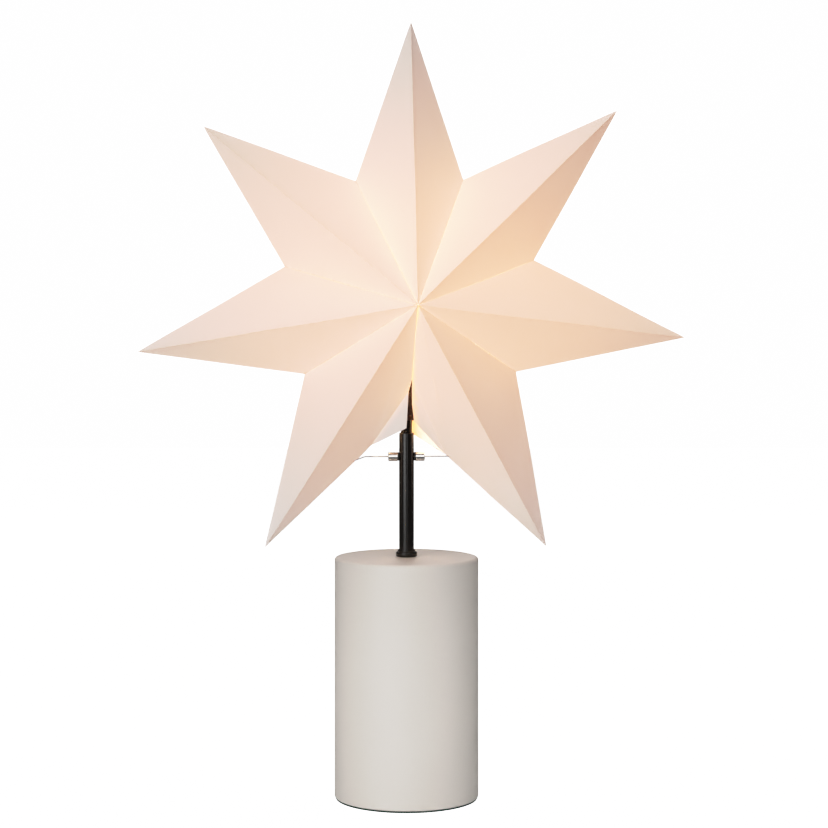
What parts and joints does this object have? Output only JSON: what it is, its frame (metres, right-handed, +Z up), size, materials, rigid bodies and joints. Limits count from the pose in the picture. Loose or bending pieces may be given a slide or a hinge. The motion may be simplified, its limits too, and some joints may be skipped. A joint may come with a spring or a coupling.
{
  "type": "table lamp with folded paper star",
  "caption": "Lit seven-pointed folded paper star on a black tube and a round pale wooden base, with a lamp inside.",
  "frame": {"origin": "centre of the base's underside, on the table", "axes": "+Z up along the tube, -Y towards the viewer of the picture, +X to the viewer's right"},
  "size_m": [0.4401, 0.133, 0.6225],
  "materials": {
    "painted_wood": "matte off-white paint on turned wood",
    "felt": "thin dark felt",
    "black_rubber": "matte black",
    "zinc_steel": "zinc plated",
    "brass": "turned, satin",
    "black_enamel": "gloss black lacquer",
    "bright_nickel": "polished plate",
    "black_plastic": "moulded, matte",
    "insulator": "unglazed",
    "lit_glass": "opal, lit warm white",
    "star_paper": "matte white card, lit from inside"
  },
  "bodies": {
    "root": {"base_body": "painted_wood", "felt_pad": "felt", "cable_grommet": "black_rubber", "base_rod": "zinc_steel", "base_washer": "zinc_steel", "base_nut": "brass", "tube_collar": "black_enamel", "tube": "black_enamel", "star_wire": "zinc_steel", "left_barrel": "bright_nickel", "right_barrel": "bright_nickel", "left_washer": "black_rubber", "right_washer": "black_rubber", "left_grub_screw": "zinc_steel", "right_grub_screw": "zinc_steel", "top_nipple": "black_enamel", "holder_cap": "black_plastic", "holder_shell": "black_plastic", "holder_insert": "insulator", "screw_sleeve": "brass", "centre_contact": "brass", "bulb": "lit_glass", "star_point_1": "star_paper", "star_point_2": "star_paper", "star_point_3": "star_paper", "star_point_4": "star_paper", "star_point_5": "star_paper", "star_point_6": "star_paper", "star_point_7": "star_paper"}
  },
  "joints": []
}
